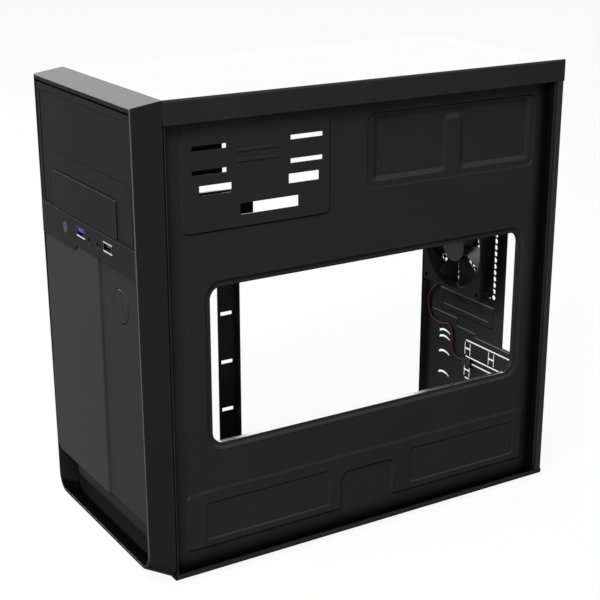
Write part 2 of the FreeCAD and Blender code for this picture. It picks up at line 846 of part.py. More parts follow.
def fan_rotor():
    y_back = box_depth - sheet - motor_disc - rotor_gap
    y_front = box_depth - sheet - fan_depth + hub_recess
    hub = rod("y", fan_x, fan_z, (y_front, y_back), hub_radius)
    hollow = rod("y", fan_x, fan_z, (y_front + hub_wall, y_back + 1), hub_radius - hub_wall)
    shaft = rod("y", fan_x, fan_z, (y_front + hub_wall / 2, box_depth - sheet), shaft_radius)
    blades = []
    y_mid = (y_front + y_back) / 2
    middle = (hub_radius + blade_tip_radius) / 2
    for k in range(blade_count):
        wires = [
            blade_section(hub_radius - 0.6, blade_root_angle, y_mid),
            blade_section(middle, (blade_root_angle + blade_tip_angle) / 2, y_mid),
            blade_section(blade_tip_radius + 1, blade_tip_angle, y_mid)]
        blade = Part.makeLoft(wires, True, True)
        blade.rotate(FreeCAD.Vector(0, 0, 0), FreeCAD.Vector(0, 1, 0), k * 360.0 / blade_count + 8.0)
        blade.translate(FreeCAD.Vector(fan_x, 0, fan_z))
        blades.append(blade.common(rod("y", fan_x, fan_z, (y_front, y_back), blade_tip_radius)))
    body = join(hub, *blades).cut(hollow)
    return join(body, shaft)


def fan_screws():
    screws = []
    for dx in (-1, 1):
        for dz in (-1, 1):
            u = fan_x + dx * fan_hole_pitch / 2
            v = fan_z + dz * fan_hole_pitch / 2
            head = rod("y", u, v, (box_depth, box_depth + screw_head), screw_head_radius)
            shank_y = (box_depth - screw_length, box_depth + screw_head / 2)
            shank = rod("y", u, v, shank_y, fan_hole_radius - screw_clearance)
            screws.append(join(head, shank))
    return Part.makeCompound(screws)


def fan_lead():
    """A round tube along straight runs joined by tangent arcs as large as the runs allow."""
    points = [FreeCAD.Vector(x, lead_y, z) for x, z in lead_points]
    edges = []
    here = points[0]
    for i in range(1, len(points) - 1):
        a = points[i - 1] - points[i]
        b = points[i + 1] - points[i]
        half_turn = (math.pi - a.getAngle(b)) / 2
        reach = 0.45 * min(a.Length, b.Length)
        radius = reach / math.tan(half_turn)
        print("fan lead, radius at point", i, round(radius, 1))
        start, middle, end = corner_arc(points[i - 1], points[i], points[i + 1], radius)
        edges.append(Part.LineSegment(here, start).toShape())
        edges.append(Part.Arc(start, middle, end).toShape())
        here = end
    edges.append(Part.LineSegment(here, points[-1]).toShape())
    path = Part.Wire(edges)
    ring = Part.Wire([Part.Circle(points[0], points[1] - points[0], lead_radius).toShape()])
    tube = path.makePipeShell([ring], True, False)
    expected = math.pi * lead_radius ** 2 * path.Length
    print("fan lead, length", round(path.Length, 1), "volume", round(tube.Volume, 1), "of", round(expected, 1))
    return tube


def fan_plug():
    x, z = lead_points[-1]
    y = (lead_y - plug_thickness / 2, lead_y + plug_thickness / 2)
    body = block((x, x + plug_length), y, (z - plug_height / 2, z + plug_height / 2))
    for k in (-1, 0, 1):
        pin_z = z + k * plug_pin_pitch
        slot_z = (pin_z - plug_slot / 2, pin_z + plug_slot / 2)
        slot_x = (x + 4 * plug_wall, x + plug_length + 1)
        body = body.cut(block(slot_x, (y[0] + plug_wall, y[1] - plug_wall), slot_z))
    return body


def front_face_y(z):
    """The moulding's front edge leans back a little towards the bottom."""
    share = (box_height - bezel_top_drop - z) / (box_height - bezel_top_drop - bezel_bottom_rise)
    return -(bezel_depth + (bezel_low_depth - bezel_depth) * share)


def bezel_shell():
    """The outer moulding: two sides, the top and the sloping underside, open at front and back."""
    top_front = box_height - bezel_top_drop
    profile = [
        (0, 0, 0), (0, box_height, 0), (-bezel_depth, top_front, 0), (-bezel_low_depth, bezel_bottom_rise, 0)]
    solid = slab("x", (-half, half), profile)
    solid = solid.makeFillet(bezel_corner, [e for e in solid.Edges if runs_back(e, 0, bezel_bottom_rise)])
    rim = [e for e in solid.Edges if is_front_rim(e)]
    solid = solid.makeFillet(bezel_rim_round, rim)
    inner_x = half - bezel_side_wall
    far = bezel_depth + 5
    slope = bezel_bottom_rise / bezel_low_depth
    low = bezel_bottom_wall
    drop = bezel_top_drop / bezel_depth
    inside = [(1, low - slope, 0), (1, box_height - bezel_top_wall + drop, 0),
              (-far, box_height - bezel_top_wall - drop * far, 0), (-far, low + slope * far, 0)]
    cavity = slab("x", (-inner_x, inner_x), inside)
    low_edges = [e for e in cavity.Edges if runs_back(e, low - slope, low + slope * far)]
    cavity = cavity.makeFillet(bezel_corner - bezel_side_wall, low_edges)
    return solid.cut(cavity)


def runs_back(edge, low, high):
    """True for the two side edges of a sloping underside between two heights."""
    box = edge.BoundBox
    return box.XLength < 1e-3 and abs(box.ZMin - low) < 0.01 and abs(box.ZMax - high) < 0.01 and box.YLength > 5


def is_front_rim(edge):
    """True for the edges around the moulding's front face."""
    box = edge.BoundBox
    return box.YMax < -bezel_low_depth + 0.01


def band():
    """The strip across the front that carries the ports and the reset button."""
    inner_x = half - bezel_side_wall + 0.5
    outline = [
        (-inner_x, band_low_left, 0), (band_step_x - band_step_run, band_low_left, 0),
        (band_step_x + band_step_run, band_low_right, 0),
        (inner_x, band_low_right, 0), (inner_x, band_top, 0), (-inner_x, band_top, 0)]
    strip = slab("y", (-band_face, -band_face + moulding), outline)
    bosses = [rod("y", x, port_z, (-band_face + moulding, -board_face), boss_radius) for x in boss_x]
    strip = join(strip, *bosses)
    w = (-bezel_depth - 1, -band_face + moulding + 1)
    for x in (usb3_x, usb2_x):
        u = (x - usb_width / 2 - port_clearance, x + usb_width / 2 + port_clearance)
        v = (port_z - usb_height / 2 - port_clearance, port_z + usb_height / 2 + port_clearance)
        strip = strip.cut(slab("y", w, rectangle(u, v, 0.6)))
    for x in jack_x:
        strip = strip.cut(rod("y", x, jack_z, w, jack_radius + port_clearance))
    return strip.cut(rod("y", reset_x, reset_z, w, reset_radius + button_clearance))


def bezel_frame():
    """The whole front moulding in one piece, with its band, a closing wall low down and its clips."""
    inner_x = half - bezel_side_wall + 0.5
    wall_y = (-closing_back, -closing_back + moulding)
    closing = slab("y", wall_y, rectangle((-inner_x, inner_x), (1.0, closing_top)))
    closing = closing.common(bezel_filled())
    pieces_on = [bezel_shell(), band(), closing]
    for x, z in clip_places():
        v = (z - clip_half_thickness, z + clip_half_thickness)
        u = (x - clip_half_width, x + clip_half_width)
        pieces_on.append(block(u, (-clip_root, front_plate_y + sheet + clip_hook), v))
        web_x = sorted((x, math.copysign(inner_x, x)))
        pieces_on.append(block(web_x, (-clip_root, -fit_gap), v))
    return join(*pieces_on)


def bezel_filled():
    """The space inside the moulding's walls and a little of the walls, for pieces that reach them."""
    slope = bezel_bottom_rise / bezel_low_depth
    low = bezel_bottom_wall - 1.0
    profile = [(0, low, 0), (0, box_height - 2, 0), (-bezel_depth, box_height - 6, 0),
               (-bezel_depth, low + slope * bezel_depth, 0)]
    x_wide = half - bezel_side_wall + 0.5
    solid = slab("x", (-x_wide, x_wide), profile)
    low_edges = [e for e in solid.Edges if runs_back(e, low, low + slope * bezel_depth)]
    return solid.makeFillet(bezel_corner - bezel_side_wall, low_edges)


def fascia_ring():
    outer = rectangle((-fascia_half, fascia_half), (band_top + fit_gap, fascia_top), 1.0)
    ring = slab("y", (-fascia_face, -fascia_face + moulding), outer)
    hole_u = (-cover_half - fit_gap, cover_half + fit_gap)
    hole = rectangle(hole_u, (band_top + fit_gap + fascia_low_border, cover_top + fit_gap))
    skirt_half = half - bezel_side_wall - skirt_gap
    skirt_y = (-fascia_face + moulding, -fascia_face + moulding + skirt_thickness)
    skirt_z = (band_top + fit_gap, fascia_top + skirt_rise)
    ring = join(ring, slab("y", skirt_y, rectangle((-skirt_half, skirt_half), skirt_z, 1.0)))
    ring = ring.cut(slab("y", (-fascia_face - 1, skirt_y[1] + 1), hole))
    sides = []
    for side in (-1, 1):
        x = sorted((side * fascia_half, side * (fascia_half - cover_wall)))
        sides.append(block(x, (-fascia_face + 1, -1.0), (band_top + 6.0, fascia_top - 4.0)))
    return join(ring, *sides)


def tray_cover(u, v, face):
    """A bay cover: a front with a wall turned back along its edges."""
    body = slab("y", (-face, -face + cover_return), rectangle(u, v, 0.8))
    inner_u = (u[0] + cover_wall, u[1] - cover_wall)
    inner_v = (v[0] + cover_wall, v[1] - cover_wall)
    return body.cut(slab("y", (-face + cover_wall, -face + cover_return + 1), rectangle(inner_u, inner_v)))


def bay_cover_upper():
    return tray_cover((-cover_half, cover_half), (cover_split + fit_gap / 2, cover_top), cover_face)


def bay_cover_lower():
    low = cover_low
    body = slab("y", (-cover_face, -cover_face + cover_return),
                rectangle((-cover_half, cover_half), (low, cover_split - fit_gap / 2), 0.8))
    inner_v = (small_top + fit_gap + cover_wall, cover_split - fit_gap / 2 - cover_wall)
    inner_u = (-cover_half + cover_wall, cover_half - cover_wall)
    deep = (-cover_face + cover_wall, -cover_face + cover_return + 1)
    body = body.cut(slab("y", deep, rectangle(inner_u, inner_v)))
    for side in (-1, 1):
        u = sorted((side * (small_half + fit_gap + cover_wall), side * (cover_half - cover_wall)))
        body = body.cut(slab("y", deep, rectangle(u, (low + cover_wall, inner_v[0]))))
    hole_u = (-small_half - fit_gap, small_half + fit_gap)
    through = (-cover_face - 1, -cover_face + cover_return + 1)
    return body.cut(slab("y", through, rectangle(hole_u, (low - 1, small_top + fit_gap))))


def bay_cover_small():
    return tray_cover((-small_half, small_half), (cover_low, small_top), small_face)


def panel_left():
    step = fit_gap
    outline = [
        (left_panel_x[0], left_panel_bottom, left_panel_corner), (left_panel_x[1], left_panel_bottom, 1.0),
        (left_panel_x[1], band_low_right - step, 0.0),
        (band_step_x + band_step_run, band_low_right - step, 0.0),
        (band_step_x - band_step_run, band_low_left - step, 0.0), (left_panel_x[0], band_low_left - step, 0.0)]
    body = slab("y", (-left_panel_face, -left_panel_face + panel_return), outline)
    hollow = slab("y", (-left_panel_face + panel_thickness, -left_panel_face + panel_return + 1),
                  inset(outline, panel_side_wall))
    body = body.cut(hollow)
    edge = [e for e in body.Edges if abs(e.BoundBox.XMax - left_panel_x[1]) < 1e-6 and e.BoundBox.XLength < 1e-6
            and abs(e.BoundBox.YMax + left_panel_face) < 1e-6 and e.BoundBox.ZLength > left_panel_corner]
    return body.makeFillet(left_panel_round - 0.2, edge)


def panel_right():
    outline = rectangle(right_panel_x, (right_panel_bottom, band_low_right - fit_gap), 1.0)
    body = slab("y", (-right_panel_face, -right_panel_face + panel_return), outline)
    hollow = slab("y", (-right_panel_face + panel_thickness, -right_panel_face + panel_return + 1),
                  inset(outline, panel_side_wall))
    body = body.cut(hollow)
    w = (-right_panel_face - 1, -right_panel_face + panel_thickness + 1)
    return body.cut(rod("y", button_x, button_z, w, button_radius + button_clearance))


def power_button():
    face = right_panel_face + button_proud
    disc = rod("y", button_x, button_z, (-face, -face + panel_thickness), button_radius)
    rim = [e for e in disc.Edges if abs(e.BoundBox.YMax + face) < 1e-6 and abs(e.BoundBox.YMin + face) < 1e-6]
    disc = disc.makeFillet(button_dome, rim)
    flange_y = -right_panel_face + panel_thickness + fit_gap
    flange = rod("y", button_x, button_z, (flange_y, flange_y + button_flange), button_radius + button_lap)
    stem_end = -switch_front - button_travel - fit_gap
    stem = rod("y", button_x, button_z, (-face + 1, stem_end), stem_radius)
    core = rod("y", button_x, button_z, (-face + 1, flange_y + 0.5), button_radius - 1)
    return join(disc, core, flange, stem)


def power_switch():
    body = rod("y", button_x, button_z, (-switch_front, front_plate_y), switch_radius)
    neck = rod("y", button_x, button_z, (front_plate_y - 0.5, front_plate_y + sheet), switch_hole_radius - seam)
    return join(body, neck)


def reset_button():
    end = -board_face - reset_travel - fit_gap
    stem = rod("y", reset_x, reset_z, (-band_face - reset_stand, end), reset_radius)
    rim = [e for e in stem.Edges if e.BoundBox.YMax < -band_face]
    stem = stem.makeFillet(0.2, rim)
    flange_y = -band_face + moulding + fit_gap
    flange = rod("y", reset_x, reset_z, (flange_y, flange_y + button_flange), reset_radius + button_lap)
    return join(stem, flange)


def io_board():
    return block(board_x, (-board_face, -board_face + board_thickness), board_z)


def usb_port(x):
    w = (-band_face - usb_proud, -board_face)
    u = (x - usb_width / 2, x + usb_width / 2)
    v = (port_z - usb_height / 2, port_z + usb_height / 2)
    shell = slab("y", w, rectangle(u, v, 0.5))
    hollow_u = (u[0] + usb_wall, u[1] - usb_wall)
    hollow_v = (v[0] + usb_wall, v[1] - usb_wall)
    return shell.cut(slab("y", (w[0] - 1, w[1] - usb_wall), rectangle(hollow_u, hollow_v, 0.3)))


def usb_tongue(x):
    w = (-band_face + tongue_recess, -board_face - usb_wall)
    u = (x - tongue_width / 2, x + tongue_width / 2)
    top = port_z + usb_height / 2 - usb_wall - tongue_drop
    return slab("y", w, rectangle(u, (top - tongue_height, top), 0.2))


def audio_jacks():
    jacks = []
    for x in jack_x:
        w = (-band_face - jack_proud, -board_face)
        body = rod("y", x, jack_z, w, jack_radius)
        jacks.append(body.cut(rod("y", x, jack_z, (w[0] - 1, w[1] - jack_floor), jack_bore)))
    return Part.makeCompound(jacks)


def name_plate():
    """The bare plate under the panels, with the step below it."""
    high = plate_z[1] + plate_rise
    outline = [(plate_x[0], plate_z[0], plate_corner), (plate_x[1], plate_z[0], 0.0),
               (plate_x[1], plate_z[1], 0.0), (plate_x[0], plate_z[1], 0.0)]
    front = slab("y", (-plate_face, -plate_step_face + 0.5), outline)
    outline = [(plate_step_x, plate_step_z, plate_corner), (plate_x[1], plate_step_z, 0.0),
               (plate_x[1], high, 0.0), (plate_step_x, high, 0.0)]
    step = slab("y", (-plate_step_face, -plate_step_face + plate_step_depth), outline)
    legs = []
    leg_y = (-plate_step_face + plate_step_depth, -closing_back - seam)
    leg_z = (plate_step_z + plate_leg_inset, high - plate_leg_inset)
    for x in plate_leg_x:
        legs.append(block((x - plate_leg_width / 2, x + plate_leg_width / 2), leg_y, leg_z))
    return join(front, step, *legs).cut(panel_room())


def panel_room():
    """Room above the plate for the lower edges of the two panels."""
    left = block((left_panel_x[0], left_panel_x[1] + 1),
                 (-left_panel_face, -left_panel_face + panel_return + 1),
                 (left_panel_bottom - fit_gap, left_panel_bottom + plate_rise + 20))
    right = block(right_panel_x, (-right_panel_face, -right_panel_face + panel_return + 1),
                  (right_panel_bottom - fit_gap, right_panel_bottom + plate_rise + 20))
    return left.fuse(right)


def feet():
    pads = []
    for x in (-foot_x, foot_x):
        for y in (foot_front_y, foot_rear_y):
            base = FreeCAD.Vector(x, y, -foot_height)
            pads.append(Part.makeCone(foot_radius - foot_taper, foot_radius, foot_height, base))
    return Part.makeCompound(pads)


pieces = {
    "top_cover": top_cover,
    "motherboard_tray": motherboard_tray,
    "rear_panel": rear_panel,
    "bottom_pan": bottom_pan,
    "front_plate": front_plate,
    "left_post": left_post,
    "upper_cage_wall": upper_cage_wall,
    "hdd_cage": hdd_cage,
    "psu_ledge": psu_ledge,
    "standoffs": standoffs,
    "fan_frame": fan_frame,
    "fan_rotor": fan_rotor,
    "fan_screws": fan_screws,
    "fan_lead": fan_lead,
    "fan_plug": fan_plug,
    "bezel_frame": bezel_frame,
    "fascia_ring": fascia_ring,
    "bay_cover_upper": bay_cover_upper,
    "bay_cover_lower": bay_cover_lower,
    "bay_cover_small": bay_cover_small,
    "panel_left": panel_left,
    "panel_right": panel_right,
    "name_plate": name_plate,
    "power_button": power_button,
    "power_switch": power_switch,
    "reset_button": reset_button,
    "io_board": io_board,
    "usb3_port": lambda: usb_port(usb3_x),
    "usb3_tongue": lambda: usb_tongue(usb3_x),
    "usb2_port": lambda: usb_port(usb2_x),
    "usb2_tongue": lambda: usb_tongue(usb2_x),
    "audio_jacks": audio_jacks,
    "feet": feet,
}

os.makedirs("parts", exist_ok=True)
middle_y = (box_depth + screw_head - bezel_depth) / 2
for name, make in pieces.items():
    shape = make()
    shape.translate(FreeCAD.Vector(0, -middle_y, foot_height))
    print(name, "solids", len(shape.Solids), "valid", shape.isValid(), "volume", round(shape.Volume))
    shape.exportStep(os.path.join("parts", name + ".step"))
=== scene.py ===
# %% [markdown]
# A micro ATX pc case with both of its side panels taken off, for learning Blender with one real object.
# The folded steel, the moulded front and the fan come from a CAD model, which is loaded as a fixed frame.
# This lesson gives each of them its finish, adds the small parts that a CAD model leaves out, and lights
# the whole like a catalogue photograph: a pale floor and soft, even light.

# %% Load the frame
import bpy
import bmesh
import math
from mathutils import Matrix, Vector


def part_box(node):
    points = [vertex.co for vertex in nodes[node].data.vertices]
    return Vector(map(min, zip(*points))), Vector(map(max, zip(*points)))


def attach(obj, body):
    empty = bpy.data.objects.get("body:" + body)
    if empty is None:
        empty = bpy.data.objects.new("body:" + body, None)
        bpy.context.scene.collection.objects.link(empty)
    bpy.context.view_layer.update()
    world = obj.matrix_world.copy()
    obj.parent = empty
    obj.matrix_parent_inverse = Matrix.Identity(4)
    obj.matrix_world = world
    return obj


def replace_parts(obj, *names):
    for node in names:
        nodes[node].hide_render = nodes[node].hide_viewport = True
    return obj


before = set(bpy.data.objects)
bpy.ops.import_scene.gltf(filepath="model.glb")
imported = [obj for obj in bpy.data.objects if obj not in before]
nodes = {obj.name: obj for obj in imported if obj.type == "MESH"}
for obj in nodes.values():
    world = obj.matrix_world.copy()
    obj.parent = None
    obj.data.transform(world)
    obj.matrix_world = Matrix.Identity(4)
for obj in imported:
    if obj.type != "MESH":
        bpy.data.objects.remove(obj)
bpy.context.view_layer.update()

# %% [markdown]
# A catalogue picture starts with the camera. Its place and lens were solved from the box's own edges in
# the photograph, so every later comparison is fair. The sensor is 36 mm wide and the picture is square,
# so the lens in millimetres is 36 times the focal length in pixels over the picture's width in pixels.

# %% Camera
focal_px = 1364.3
picture_px = 600
camera_place = (0.8714, -0.54165, 0.5115)
looks_down = 18.50
turned_right = 58.39
camera_data = bpy.data.cameras.new("camera")
camera_data.sensor_width = 36.0
camera_data.lens = camera_data.sensor_width * focal_px / picture_px
camera_data.clip_start = 0.05
camera_data.clip_end = 50.0
camera = bpy.data.objects.new("camera", camera_data)
camera.location = camera_place
camera.rotation_euler = (math.radians(90 - looks_down), 0, math.radians(turned_right))
bpy.context.scene.collection.objects.link(camera)
bpy.context.scene.camera = camera
bpy.context.scene.view_settings.view_transform = "Standard"
print("lens", round(camera_data.lens, 2), "mm")

# %% [markdown]
# Node trees are long to write by hand. Two small classes make them read like sums: a Wire stands for one
# output of a node, and adding or multiplying wires adds Math nodes, while a Finish is a material that
# takes any other node by its type, with its settings and what goes into its sockets.

# %% Writing materials as sums
mask_samples = 4


class Wire:
    """One output socket of a node in a finish, which can be used in sums."""

    def __init__(self, finish, socket):
        self.finish = finish
        self.socket = socket

    def maths(self, operation, first, second=0.0):
        return self.finish.node("Math", {"operation": operation}, {0: first, 1: second})

    def __add__(self, other):
        return self.maths("ADD", self, other)

    def __radd__(self, other):
        return self.maths("ADD", other, self)

    def __sub__(self, other):
        return self.maths("SUBTRACT", self, other)

    def __rsub__(self, other):
        return self.maths("SUBTRACT", other, self)

    def __mul__(self, other):
        return self.maths("MULTIPLY", self, other)

    def __rmul__(self, other):
        return self.maths("MULTIPLY", other, self)

    def either(self, other):
        return self.maths("MAXIMUM", self, other)

    def part(self, axis):
        """One coordinate of a vector, such as how far a normal points upwards."""
        return self.finish.node("SeparateXYZ", sockets={"Vector": self}, out=axis)

    def dot(self, other):
        settings = {"operation": "DOT_PRODUCT"}
        return self.finish.node("VectorMath", settings, {0: self, 1: other}, out="Value")

    def between(self, low, high):
        """0 below low, 1 above high and a smooth step from one to the other."""
        settings = {"interpolation_type": "SMOOTHSTEP"}
        sockets = {"Value": self, "From Min": low, "From Max": high}
        return self.finish.node("MapRange", settings, sockets)


class Finish:
    """A material whose nodes are added one by one."""

    def __init__(self, name, tree=None):
        if tree is None:
            self.material = bpy.data.materials.new(name)
            self.material.use_nodes = True
            tree = self.material.node_tree
        self.tree = tree
        self.tree.nodes.clear()

    def node(self, kind, settings=None, sockets=None, out=0):
        made = self.tree.nodes.new("ShaderNode" + kind)
        for name, value in (settings or {}).items():
            setattr(made, name, value)
        for name, value in (sockets or {}).items():
            if isinstance(value, Wire):
                self.tree.links.new(value.socket, made.inputs[name])
            else:
                made.inputs[name].default_value = value
        return Wire(self, made.outputs[out]) if made.outputs else None

    def place(self):
        return self.node("TexCoord", out="Object")

    def noise(self, scale, detail=2.0):
        """A cloudy pattern of 0 to 1, with this many spots to the metre."""
        return self.node("TexNoise", sockets={"Vector": self.place(), "Scale": scale, "Detail": detail})

    def colours(self, share, first, second):
        """A mix of two colours by a share from 0 to 1."""
        first, second = [c if isinstance(c, Wire) else tuple(c) + (1,) for c in (first, second)]
        sockets = {"Factor": share, 6: first, 7: second}
        return self.node("Mix", {"data_type": "RGBA"}, sockets, out=2)

    def bump(self, height, distance, normal):
        """Small relief on top of a normal, without any change to the mesh."""
        return self.node("Bump", sockets={"Height": height, "Distance": distance, "Normal": normal})

    def soft_edges(self, radius):
        """Normals that round every hard edge a little, as paint and moulding do."""
        return self.node("Bevel", {"samples": mask_samples}, {"Radius": radius})

    def show(self, shader):
        self.node("OutputMaterial", sockets={"Surface": shader})
        return self.material


# %% [markdown]
# Powder-coated steel is a thick, slightly pebbled paint. Seen straight on it is almost black, and on
# faces that lie flat it turns into a mirror for the bright studio at a low angle, which is why the top of
# a black case looks white in a catalogue. So its body is a plain matt shader, and a white gloss takes
# over on up-facing faces seen at a low angle. A few masks give the paint its relief, mostly as light and
# shade painted into its colour. The Bevel node finds the open edges, because its rounded normal leaves
# the face's own one there; on the plastics they get a lighter grey that is partly wear and partly a
# painted highlight, and a painted highlight also runs round the moulding's rim. The height of that same
# normal tells the slopes of a pressing that get a painted highlight from those that hang over and get
# painted shade, and ambient occlusion paints shade into the gaps and inner corners. Where the real object
# lies in the shade of a lip or a rim, a mask of its own paints that shade into the paint by its place.
# Every pair of numbers in this cell says where a smooth step from 0 to 1 starts and where it ends, and
# places and radii are in metres.

# %% Painted and moulded finishes
# Heights of a normal: 0 on a wall and 1 on a face that lies flat. An overhang counts downwards.
gentle_slope = (0.12, 0.50)
steep_slope = (0.50, 0.72)
flat_face = (0.45, 0.92)
flat_top = (0.80, 0.95)
overhang = (0.34, 0.60)
# How far a rounded normal turns from its face, and shares of open air.
edge_turn = (0.01, 0.22)
open_edge = (0.72, 0.92)
under_open_sky = (0.66, 0.92)
out_of_gaps = (0.30, 0.80)
# What is left of a colour in painted shade, and the grey of the painted shade in a deep gap.
lip_shade = 0.12
ledge_shade = 0.20
overhang_shade = 0.30
gap_shade = 0.001
# How far the clouds in the paint change its colour, and how far the mask of edge wear and painted highlight
# reaches, in edge radii.
tone_spread = 0.12
wear_and_highlight_reach = 6


def grey(level):
    """A grey with a trace of blue, as black paint and plastic have."""
    return (level, level, level * 1.03)


def open_air(f, reach, local=False):
    """Ambient occlusion: near 1 on open faces, and lower in gaps and inner corners."""
    settings = {"samples": mask_samples, "only_local": local}
    return f.node("AmbientOcclusion", settings, {"Distance": reach}, out="AO")


def edge_wear_and_highlight(f, rounded, reach):
    """1 along the open edges of a piece, 0 on its faces and in its inner corners."""
    facet = f.node("NewGeometry", out="True Normal")
    turned = (1 - rounded.dot(facet)).between(*edge_turn)
    return turned * open_air(f, reach, local=True).between(*open_edge)


def rim_highlight(rounded):
    """1 where a face turns from the front to the top or the right, as round the moulding's mouth: where a
    painted highlight goes.
    """
    forward = 0 - rounded.part("Y")
    turning = forward.between(0.25, 0.50) - forward.between(0.86, 0.97)
    not_below = rounded.part("Z").between(-0.45, -0.20)
    not_left = rounded.part("X").between(-0.60, -0.30)
    return turning * not_below * not_left


def clear_of_band(f):
    """0 in the shade along the port band's upper edge and low on the front, and 1 elsewhere."""
    (left, _, band_top), (right, _, _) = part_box("fascia_ring")
    fade = 0.001
    near, far = 0.005, 0.006
    front_foot = (0.022, 0.034)
    across = f.place().part("X")
    height = f.place().part("Z")
    in_mouth = across.between(left, left + fade) - across.between(right - fade, right)
    from_below = height.between(band_top - far, band_top - near)
    at_edge = from_below - height.between(band_top + near, band_top + far)
    return (1 - in_mouth * at_edge) * height.between(*front_foot)


def off_the_rim(node, beside, below):
    """A mask for a piece in the moulding's mouth: 0 in the rim's shade at its right and top, else 1."""
    right, _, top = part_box(node)[1]
    start, end = 1.2, 0.8

    def lit(f):
        across = f.place().part("X")
        height = f.place().part("Z")
        shaded = across.between(right - beside * start, right - beside * end)
        if below:
            shaded = shaded.either(height.between(top - below * start, top - below * end))
        return 1 - shaded

    return lit


def away_from_lips(f):
    """0 beside the lips below and behind the tray, where little light reaches, and 1 elsewhere."""
    lower_lip = (0.0065, 0.0235)
    rear_start, rear_lip, rear_end = 0.1590, 0.1735, 0.1745
    height = f.place().part("Z")
    depth = f.place().part("Y")
    behind = depth.between(rear_start, rear_lip) - depth.between(rear_lip, rear_end)
    return height.between(*lower_lip) * (1 - behind)


def dark_finish(name, colour, edge_tone, slope_tone, roughness=0.44, specular=0.0, grain=1200,
                grain_depth=0.00005, edge=0.0005, gap=0.003, flat_gloss=0.5, angles=(0.45, 0.78),
                rim_tone=None, sky=0.02, lit=None, steep=flat_top):
    """Black paint or plastic: a pebbled skin, edges that are worn and on the plastics carry a painted
    highlight, painted light on slopes, painted shade on overhangs and in gaps, and a flat-lying gloss.

    colour, edge_tone, slope_tone and rim_tone are greys for faces, open edges, painted light on slopes and
    a painted highlight on the rim. angles is where the gloss sets in as the view gets lower, and gap and
    sky are reaches of open air.
    """
    f = Finish(name)
    skin = f.noise(grain, detail=3.0)
    cloud = f.noise(14.0, detail=4.0)
    rounded = f.soft_edges(edge)
    upward = rounded.part("Z")
    tone = f.colours(cloud, grey(colour * (1 - tone_spread)), grey(colour * (1 + tone_spread)))
    # Painted light: slopes that face upwards get slope_tone, a lighter grey for the key lamp's light on
    # them.
    lit_slope = upward.between(*gentle_slope) - upward.between(*steep)
    tone = f.colours(lit_slope, tone, grey(slope_tone))
    # Painted shade: faces that hang over keep only a share of their colour.
    tone = f.colours((0 - upward).between(*overhang), tone, grey(colour * overhang_shade))
    wear = edge_wear_and_highlight(f, rounded, edge * wear_and_highlight_reach)
    if rim_tone:
        clear_band = clear_of_band(f)
        wear = wear * clear_band
        # A painted highlight where the moulding turns from the front round its mouth, left out of the
        # band's painted shade.
        tone = f.colours(rim_highlight(rounded) * clear_band, tone, grey(rim_tone))
        shaded_ledge = (1 - clear_band) * upward.between(*gentle_slope)
        tone = f.colours(shaded_ledge, tone, grey(colour * ledge_shade))
    # Open edges take edge_tone: darker on the steel, and on the plastics a lighter grey that is partly wear
    # and partly a painted highlight.
    tone = f.colours(wear, tone, grey(edge_tone))
    if lit:
        tone = f.colours(lit(f), grey(colour * lip_shade), tone)
    # Painted shade: gaps and inner corners, found by ambient occlusion, turn almost black.
    tone = f.colours(open_air(f, gap).between(*out_of_gaps), grey(gap_shade), tone)
    rough = roughness + 0.10 * (cloud - 0.5) + 0.08 * (skin - 0.5)
    body = f.node("BsdfPrincipled", sockets={
        "Base Color": tone, "Roughness": rough, "Specular IOR Level": specular,
        "Normal": f.bump(skin, grain_depth, rounded)})
    gloss = f.node("BsdfGlossy", sockets={
        "Color": (1, 1, 1, 1), "Roughness": roughness * 0.5, "Normal": rounded})
    low_angle = f.node("LayerWeight", sockets={"Blend": 0.5}, out="Facing")
    under_sky = open_air(f, sky).between(*under_open_sky)
    share = low_angle.between(*angles) * upward.between(*flat_face) * under_sky * flat_gloss
    return f.show(f.node("MixShader", sockets={0: share, 1: body, 2: gloss}))


def steel(name, colour, slope_tone, flat_gloss=0.97, gap=0.009, **details):
    """Powder coat: a coarser skin than plastic, dark edges, and a flat top that shines almost fully."""
    return dark_finish(name, colour, 0.012, slope_tone, roughness=0.42, grain=900, grain_depth=0.00006,
                       gap=gap, flat_gloss=flat_gloss, angles=(0.40, 0.60), **details)


def moulded(name, colour, edge_tone, slope_tone, specular=0.015, grain=1500, **details):
    """The fine-grained plastic of the front."""
    return dark_finish(name, colour, edge_tone, slope_tone, specular=specular, grain=grain, **details)


steel_paint = steel("black_steel", 0.0225, 0.034)
tray_steel = steel("black_steel_tray", 0.0225, 0.036, lit=away_from_lips, steep=steep_slope, sky=0.003)
# A lighter copy of the same black paint: painted light for the inside, which the lamps reach little, with a
# strong painted highlight on the slopes of its pressings.
lit_inner_steel = steel("black_steel_inside_lit", 0.0330, 0.200, gap=0.003)
pan_steel = steel("black_steel_pan", 0.0258, 0.040, flat_gloss=0.08)
moulding = moulded("front_moulding", 0.0165, 0.060, 0.030, specular=0.01, grain=1300, edge=0.0006,
                   flat_gloss=0.30, angles=(0.45, 0.80), rim_tone=0.100)
bay_plastic = moulded("front_cover", 0.0155, 0.016, 0.016, specular=0.010, flat_gloss=0.0)
ring_plastic = moulded("front_ring", 0.0155, 0.016, 0.016, specular=0.010, flat_gloss=0.0,
                       lit=off_the_rim("fascia_ring", 0.0010, 0.0014))
small_cover = moulded("front_cover_small", 0.0160, 0.120, 0.170, specular=0.010, flat_gloss=0.2)
panel_plastic = moulded("front_panel", 0.0238, 0.080, 0.060, lit=off_the_rim("panel_right", 0.0010, 0.0))
door_plastic = moulded("front_panel_wide", 0.0330, 0.070, 0.060)
fan_plastic = dark_finish("fan_plastic", 0.0160, 0.030, 0.030, roughness=0.38, specular=0.02, edge=0.0003,
                          flat_gloss=0.4, angles=(0.50, 0.85))
